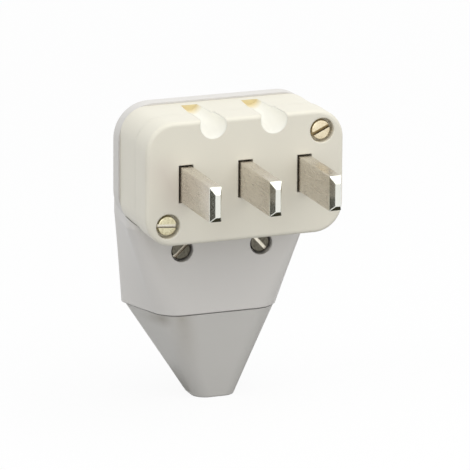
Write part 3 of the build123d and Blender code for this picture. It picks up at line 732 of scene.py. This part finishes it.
def buildSlottedScrew(shape):
    tree, given, made = newGroup("slottedScrew", "GeometryNodeTree", [
        ("Head Radius", "value"), ("Head Height", "value"), ("Rim Round", "value"),
        ("Shank Radius", "value"), ("Shank Length", "value"), ("Bare Length", "value"),
        ("Pitch", "value"), ("Thread Depth", "value"), ("Slot Width", "value"),
        ("Slot Depth", "value"), ("Slot Turn", "value"), ("Sides", "whole"),
        ("Tilt", "value"), ("Place", "vector"), ("Finish", "material"),
        ("Slot Finish", "material"), ("Wall Finish", "material"),
    ], [("Geometry", "geometry")])
    # Head: a straight side, then two rings that round the rim
    straight = mathOf(tree, "SUBTRACT", given["Head Height"], given["Rim Round"])
    cylinder = step(tree, "GeometryNodeMeshCylinder", {
        "Vertices": given["Sides"], "Radius": given["Head Radius"], "Depth": straight}).outputs
    half = mathOf(tree, "MULTIPLY", straight, 0.5)
    head, top = movedBy(tree, cylinder["Mesh"], Translation=vectorOf(tree, z=half)), cylinder["Top"]
    roundShare = mathOf(tree, "DIVIDE", given["Rim Round"], given["Head Radius"])
    for rise, drawIn in shape["rimRings"]:
        share = mathOf(tree, "MULTIPLY_ADD", roundShare, -drawIn, 1.0)
        head, top = ringOnTop(tree, head, top, mathOf(tree, "MULTIPLY", given["Rim Round"], rise), share)
    # Slot, cut by a turned bar whose middle lies on the head's top
    bar = step(tree, "GeometryNodeMeshCube", {"Size": vectorOf(
        tree, mathOf(tree, "MULTIPLY", given["Head Radius"], shape["barLength"]), given["Slot Width"],
        mathOf(tree, "MULTIPLY", given["Slot Depth"], 2.0))}).outputs["Mesh"]
    bar = movedBy(tree, bar, Translation=vectorOf(tree, z=given["Head Height"]),
                  Rotation=turnOf(tree, vectorOf(tree, z=given["Slot Turn"])))
    head = step(tree, "GeometryNodeMeshBoolean", {"Mesh 1": head, "Mesh 2": bar},
                operation="DIFFERENCE", solver="EXACT").outputs["Mesh"]
    # Shank with a tapered end
    core = mathOf(tree, "MULTIPLY_ADD", given["Thread Depth"], -shape["core"], given["Shank Radius"])
    rod = step(tree, "GeometryNodeMeshCylinder", {
        "Vertices": given["Sides"], "Radius": core, "Depth": given["Shank Length"]}).outputs
    halfDown = mathOf(tree, "MULTIPLY", given["Shank Length"], -0.5)
    shank = movedBy(tree, rod["Mesh"], Translation=vectorOf(tree, z=halfDown))
    shank = step(tree, "GeometryNodeScaleElements", {
        "Geometry": shank, "Selection": rod["Bottom"], "Scale": shape["tip"]}).outputs[0]
    # Thread wound round the shank
    threaded = mathOf(tree, "SUBTRACT", given["Shank Length"], given["Bare Length"])
    wound = mathOf(tree, "SUBTRACT", threaded, given["Pitch"])
    turns = mathOf(tree, "DIVIDE", wound, given["Pitch"])
    rootRadius = mathOf(tree, "SUBTRACT", given["Shank Radius"], given["Thread Depth"])
    spiral = step(tree, "GeometryNodeCurveSpiral", {
        "Resolution": shape["turnPoints"], "Rotations": turns, "Start Radius": rootRadius,
        "End Radius": rootRadius, "Height": wound}).outputs[0]
    ridge = step(tree, "GeometryNodeCurvePrimitiveCircle", {
        "Resolution": shape["threadSides"], "Radius": given["Thread Depth"]}).outputs["Curve"]
    thread = step(tree, "GeometryNodeCurveToMesh", {
        "Curve": spiral, "Profile Curve": ridge, "Fill Caps": True}).outputs[0]
    halfPitch = mathOf(tree, "MULTIPLY", given["Pitch"], 0.5)
    dropped = mathOf(tree, "SUBTRACT", halfPitch, given["Shank Length"])
    thread = movedBy(tree, thread, Translation=vectorOf(tree, z=dropped))
    whole = tree.nodes.new("GeometryNodeJoinGeometry")
    for shell in (head, shank, thread):
        link(tree, shell, whole.inputs[0])
    # Slot faces lie within the slot's width and depth. They are marked 1 on its floor, 2 on its walls
    here = step(tree, "GeometryNodeInputPosition").outputs[0]
    turnBack = mathOf(tree, "MULTIPLY", given["Slot Turn"], -1.0)
    across = step(tree, "ShaderNodeVectorRotate", {"Vector": here, "Angle": turnBack},
                  rotation_type="Z_AXIS").outputs[0]
    parts = step(tree, "ShaderNodeSeparateXYZ", {"Vector": across}).outputs
    aside = mathOf(tree, "ABSOLUTE", parts["Y"])
    pastWall = mathOf(tree, "MULTIPLY_ADD", given["Slot Width"], -shape["slotReach"], aside)
    narrow = mathOf(tree, "LESS_THAN", pastWall, 0.0)
    bottom = mathOf(tree, "MULTIPLY_ADD", given["Slot Depth"], -shape["slotBottom"], given["Head Height"])
    deep = mathOf(tree, "GREATER_THAN", parts["Z"], bottom)
    highest = mathOf(tree, "MULTIPLY", given["Head Height"], shape["slotTop"])
    low = mathOf(tree, "LESS_THAN", parts["Z"], highest)
    inSlot = mathOf(tree, "MULTIPLY", mathOf(tree, "MULTIPLY", narrow, deep), low)
    pastFloor = mathOf(tree, "MULTIPLY_ADD", given["Slot Width"], -shape["wallFrom"], aside)
    onWall = mathOf(tree, "GREATER_THAN", pastFloor, 0.0)
    mark = mathOf(tree, "MULTIPLY", inSlot, mathOf(tree, "ADD", onWall, 1.0))
    marked = step(tree, "GeometryNodeStoreNamedAttribute", {
        "Geometry": whole.outputs[0], "Name": "slotFace", "Value": mark},
        data_type="FLOAT", domain="FACE").outputs[0]
    placed = movedBy(tree, marked, Translation=given["Place"],
                     Rotation=turnOf(tree, vectorOf(tree, x=given["Tilt"])))
    real = step(tree, "GeometryNodeRealizeInstances", {"Geometry": placed}).outputs[0]
    coated = step(tree, "GeometryNodeSetMaterial", {
        "Geometry": real, "Material": given["Finish"]}).outputs[0]
    chosen = step(tree, "GeometryNodeInputNamedAttribute", {"Name": "slotFace"},
                  data_type="FLOAT").outputs[0]
    for least, finish in ((0.5, "Slot Finish"), (1.5, "Wall Finish")):
        inside = step(tree, "FunctionNodeCompare", {0: chosen, 1: least}, operation="GREATER_THAN",
                      data_type="FLOAT").outputs[0]
        coated = step(tree, "GeometryNodeSetMaterial", {
            "Geometry": coated, "Selection": inside, "Material": given[finish]}).outputs[0]
    link(tree, coated, made[0])
    return tree


screwKinds = {
    "face": {
        "Head Radius": 2.8 * mm, "Head Height": 2.2 * mm, "Rim Round": 0.35 * mm,
        "Slot Width": 1.0 * mm, "Slot Depth": 0.9 * mm, "Sides": 64,
        "Shank Radius": 1.5 * mm, "Shank Length": 22 * mm, "Bare Length": 2 * mm,
        "Pitch": 0.5 * mm, "Thread Depth": 0.24 * mm,
    },
    "grip": {
        "Head Radius": 2.9 * mm, "Head Height": 2.2 * mm, "Rim Round": 0.45 * mm,
        "Slot Width": 1.0 * mm, "Slot Depth": 0.9 * mm, "Sides": 64,
        "Shank Radius": 1.5 * mm, "Shank Length": 16 * mm, "Bare Length": 3 * mm,
        "Pitch": 0.5 * mm, "Thread Depth": 0.24 * mm,
    },
    "terminal": {
        "Head Radius": 3.5 * mm, "Head Height": 2.6 * mm, "Rim Round": 0.4 * mm,
        "Slot Width": 1.0 * mm, "Slot Depth": 0.9 * mm, "Sides": 48,
        "Shank Radius": 2.0 * mm, "Shank Length": 6 * mm, "Bare Length": 0.4 * mm,
        "Pitch": 0.7 * mm, "Thread Depth": 0.32 * mm,
    },
    "retainer": {
        "Head Radius": 2.3 * mm, "Head Height": 1.6 * mm, "Rim Round": 0.3 * mm,
        "Slot Width": 1.0 * mm, "Slot Depth": 0.9 * mm, "Sides": 48,
        "Shank Radius": 1.25 * mm, "Shank Length": 8 * mm, "Bare Length": 0.8 * mm,
        "Pitch": 0.45 * mm, "Thread Depth": 0.2 * mm,
    },
}
# Kind, place in mm, turn of the slot in degrees, finish of the head, finish of the slot's floor (a painted
# highlight on the lower face and grip screws, painted shade on the upper face screw)
screws = {
    "face_screw_lower": ("face", (-23.3, 3.0, -12.1), -4, "turnedBrass", "paintedSlotHighlight"),
    "face_screw_upper": ("face", (23.3, 3.0, 12.1), 25, "brassPaintedLighter", "paintedSlotShade"),
    "grip_screw_left": ("grip", (-12.15, 21.6, -25.1), 42, "steelPaintedDark", "paintedSlotHighlight"),
    "grip_screw_right": ("grip", (12.15, 21.6, -25.1), -48, "steelPaintedDark", "paintedSlotHighlight"),
    "terminal_screw_left": ("terminal", (-18, 19.2, 0), -2, "zincPlate", "zincPlate"),
    "terminal_screw_middle": ("terminal", (0, 19.2, 0), -20, "zincPlate", "zincPlate"),
    "terminal_screw_right": ("terminal", (18, 19.2, 0), -38, "zincPlate", "zincPlate"),
    "retainer_screw_left": ("retainer", (-9, 18.2, 0), 27, "zincPlate", "zincPlate"),
    "retainer_screw_right": ("retainer", (9, 18.2, 0), -27, "zincPlate", "zincPlate"),
}
# The head's side of the plug, as a tilt in degrees, and the name that each kind's finish is kept under
screwSides = {
    "face": (90, "screw_brass"), "grip": (90, "screw_steel"),
    "terminal": (-90, "zinc_plate"), "retainer": (-90, "zinc_plate"),
}
# The slot walls take the painted shade finish
screwMaking = {"wallFinish": "paintedSlotWallShade", "sharpAngle": 32}


def makeScrew(tree, node, kind, place, turn, finish, slotFinish):
    tilt, slot = screwSides[kind]
    inputs = dict(screwKinds[kind])
    inputs.update({
        "Tilt": math.radians(tilt), "Place": tuple(part * mm for part in place),
        "Slot Turn": math.radians(turn), "Finish": finishes[finish],
        "Slot Finish": finishes[slotFinish], "Wall Finish": finishes[screwMaking["wallFinish"]],
    })
    piece = bpy.data.objects.new(node + ".turned", bpy.data.meshes.new(node + ".seed"))
    scene.collection.objects.link(piece)
    modifier = piece.modifiers.new("slottedScrew", "NODES")
    modifier.node_group = tree
    for item in tree.interface.items_tree:
        if item.in_out == "INPUT" and item.name in inputs:
            modifier[item.identifier] = inputs[item.name]
    made = bakedMesh(piece)
    made.shade_smooth()
    made.set_sharp_from_angle(angle=math.radians(screwMaking["sharpAngle"]))
    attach(piece, "root")
    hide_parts(node)
    print("screw", piece.name, len(made.polygons), "faces")


slottedScrew = buildSlottedScrew(screwShape)
for node, values in screws.items():
    makeScrew(slottedScrew, node, *values)

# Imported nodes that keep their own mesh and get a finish
nodeFinishes = {
    "pin_base": "ivoryMoulding", "rear_cover": "greyMoulding", "cable_sleeve": "sleeveMoulding",
    "clamp_plate_left": "zincPlate", "clamp_plate_middle": "zincPlate", "clamp_plate_right": "zincPlate",
    "pin_retainer": "pressedBoard", "insert_lower": "turnedBrass", "insert_upper": "turnedBrass",
    "cord_saddle": "saddleMoulding", "grip_nut_left": "zincPlate", "grip_nut_right": "zincPlate",
}
for node, finish in nodeFinishes.items():
    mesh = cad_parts[node].data
    mesh.materials.clear()
    mesh.materials.append(finishes[finish])
print("finishes given to", len(nodeFinishes), "nodes")
